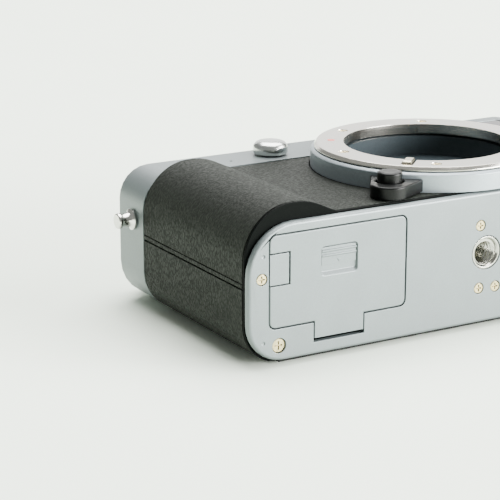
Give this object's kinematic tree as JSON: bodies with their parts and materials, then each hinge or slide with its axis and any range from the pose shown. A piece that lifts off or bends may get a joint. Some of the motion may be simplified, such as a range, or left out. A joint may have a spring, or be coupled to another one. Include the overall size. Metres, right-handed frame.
{
  "type": "interchangeable-lens camera body",
  "caption": "Silver and black camera body without a lens, lying on its back, with a bayonet lens mount, battery door, dials, accessory shoe and rear screen.",
  "frame": {"origin": "middle of the underside of the bounding box, the body lying on its rear screen", "axes": "+X from the grip end to the far end, +Y from the bottom plate to the top plate, +Z out of the lens mount along the lens axis"},
  "size_m": [0.1352, 0.0716, 0.041],
  "materials": {
    "silver_paint": "satin",
    "black_alloy": "satin",
    "black_plastic": "satin",
    "leather": "pebbled",
    "steel": "machined",
    "nickel": "plated",
    "rubber": "matte",
    "glass": "polished",
    "board": "matte"
  },
  "bodies": {
    "camera_body": {"accessory_shoe": "steel", "battery": "black_plastic", "battery_box": "black_plastic", "bottom_plate": "silver_paint", "chassis": "black_alloy", "contact_block": "black_plastic", "door_hinge_pin": "steel", "eyepiece": "rubber", "finder_module": "black_plastic", "finder_window": "glass", "leather_far_front": "leather", "leather_far_rear": "leather", "leather_grip_front": "leather", "leather_grip_rear": "leather", "light_box": "black_alloy", "main_board": "board", "memory_card": "board", "mount_collar": "silver_paint", "mount_ring": "steel", "mount_screw_1": "nickel", "mount_screw_2": "nickel", "mount_screw_3": "nickel", "mount_screw_4": "nickel", "mount_screw_5": "nickel", "mount_screw_6": "nickel", "plate_screw_1": "nickel", "plate_screw_2": "nickel", "plate_screw_3": "nickel", "plate_screw_4": "nickel", "plate_screw_5": "nickel", "plate_screw_6": "nickel", "rear_shell": "black_plastic", "release_housing": "black_plastic", "screen_glass": "glass", "screen_panel": "board", "sensor": "glass", "shutter_unit": "black_plastic", "strap_lug_far": "steel", "strap_lug_grip": "steel", "top_cover": "silver_paint", "tripod_socket": "steel"},
    "battery_door": {"battery_door": "silver_paint"},
    "door_latch": {"door_latch": "silver_paint"},
    "cable_flap": {"cable_flap": "silver_paint"},
    "release_button": {"release_button": "black_plastic"},
    "lens_lock_pin": {"lens_lock_pin": "steel"},
    "shutter_button": {"shutter_button": "steel"},
    "power_collar": {"power_collar": "silver_paint"},
    "shutter_dial": {"shutter_dial": "silver_paint"},
    "exposure_dial": {"exposure_dial": "silver_paint"},
    "top_button": {"top_button": "silver_paint"},
    "front_knob": {"front_knob": "steel"},
    "dioptre_dial": {"dioptre_dial": "black_plastic"},
    "rear_button_1": {"rear_button_1": "black_plastic"},
    "rear_button_2": {"rear_button_2": "black_plastic"},
    "rear_button_3": {"rear_button_3": "black_plastic"},
    "direction_pad": {"direction_pad": "black_plastic"},
    "ok_button": {"ok_button": "black_plastic"},
    "thumb_wheel": {"thumb_wheel": "black_plastic"},
    "terminal_cover": {"terminal_cover": "rubber"}
  },
  "joints": [
    {"name": "battery_door_hinge", "type": "hinge", "parent": "camera_body", "child": "battery_door", "pos_m": [-0.0388, -0.0342, 0.00655], "axis": [1, 0, 0], "range_deg": [0, 95]},
    {"name": "door_latch_slide", "type": "slide", "parent": "battery_door", "child": "door_latch", "axis": [0, 0, -1], "range_m": [0, 0.0014], "stiffness_N_per_m": 300, "springref_m": -0.0006},
    {"name": "cable_flap_hinge", "type": "hinge", "parent": "battery_door", "child": "cable_flap", "pos_m": [-0.053, -0.0352, 0.0234], "axis": [0, 0, 1], "range_deg": [0, 80]},
    {"name": "release_press", "type": "slide", "parent": "camera_body", "child": "release_button", "axis": [0, 0, -1], "range_m": [0, 0.0015], "stiffness_N_per_m": 600, "springref_m": -0.0006},
    {"name": "lock_pin_retract", "type": "slide", "parent": "camera_body", "child": "lens_lock_pin", "axis": [0, 0, -1], "range_m": [0, 0.0015], "stiffness_N_per_m": 300, "springref_m": -0.0006},
    {"name": "shutter_press", "type": "slide", "parent": "camera_body", "child": "shutter_button", "axis": [0, -1, 0], "range_m": [0, 0.0008], "stiffness_N_per_m": 900, "springref_m": -0.0005},
    {"name": "power_turn", "type": "hinge", "parent": "camera_body", "child": "power_collar", "pos_m": [-0.049, 0.0307, 0.0261], "axis": [0, 1, 0], "range_deg": [0, 35]},
    {"name": "shutter_dial_turn", "type": "hinge", "parent": "camera_body", "child": "shutter_dial", "pos_m": [-0.0265, 0.0322, 0.0166], "axis": [0, 1, 0], "continuous": true},
    {"name": "exposure_dial_turn", "type": "hinge", "parent": "camera_body", "child": "exposure_dial", "pos_m": [-0.0504, 0.0322, 0.0102], "axis": [0, 1, 0], "range_deg": [-150, 150]},
    {"name": "top_button_press", "type": "slide", "parent": "camera_body", "child": "top_button", "axis": [0, -1, 0], "range_m": [0, 0.0004], "stiffness_N_per_m": 800, "springref_m": -0.0004},
    {"name": "front_knob_turn", "type": "hinge", "parent": "camera_body", "child": "front_knob", "pos_m": [-0.0228, 0.0224, 0.0366], "axis": [0, 0, 1], "range_deg": [-40, 40]},
    {"name": "dioptre_turn", "type": "hinge", "parent": "camera_body", "child": "dioptre_dial", "pos_m": [0.033, 0.0235, 0.0016], "axis": [0, 0, 1], "range_deg": [-60, 60]},
    {"name": "rear_button_1_press", "type": "slide", "parent": "camera_body", "child": "rear_button_1", "axis": [0, 0, 1], "range_m": [0, 0.0005], "stiffness_N_per_m": 500, "springref_m": -0.0004},
    {"name": "rear_button_2_press", "type": "slide", "parent": "camera_body", "child": "rear_button_2", "axis": [0, 0, 1], "range_m": [0, 0.0005], "stiffness_N_per_m": 500, "springref_m": -0.0004},
    {"name": "rear_button_3_press", "type": "slide", "parent": "camera_body", "child": "rear_button_3", "axis": [0, 0, 1], "range_m": [0, 0.0005], "stiffness_N_per_m": 500, "springref_m": -0.0004},
    {"name": "direction_pad_press", "type": "slide", "parent": "camera_body", "child": "direction_pad", "axis": [0, 0, 1], "range_m": [0, 0.0004], "stiffness_N_per_m": 700, "springref_m": -0.0004},
    {"name": "ok_press", "type": "slide", "parent": "camera_body", "child": "ok_button", "axis": [0, 0, 1], "range_m": [0, 0.0005], "stiffness_N_per_m": 500, "springref_m": -0.0004},
    {"name": "thumb_wheel_turn", "type": "hinge", "parent": "camera_body", "child": "thumb_wheel", "pos_m": [-0.039, 0.0096, 0.0043], "axis": [0, 1, 0], "continuous": true},
    {"name": "terminal_cover_hinge", "type": "hinge", "parent": "camera_body", "child": "terminal_cover", "pos_m": [0.0626, -0.0113, 0.0113], "axis": [0, 1, 0], "range_deg": [0, 80]}
  ],
  "couplings": [
    {"joint": "lock_pin_retract", "follows": "release_press", "ratio": 1}
  ]
}
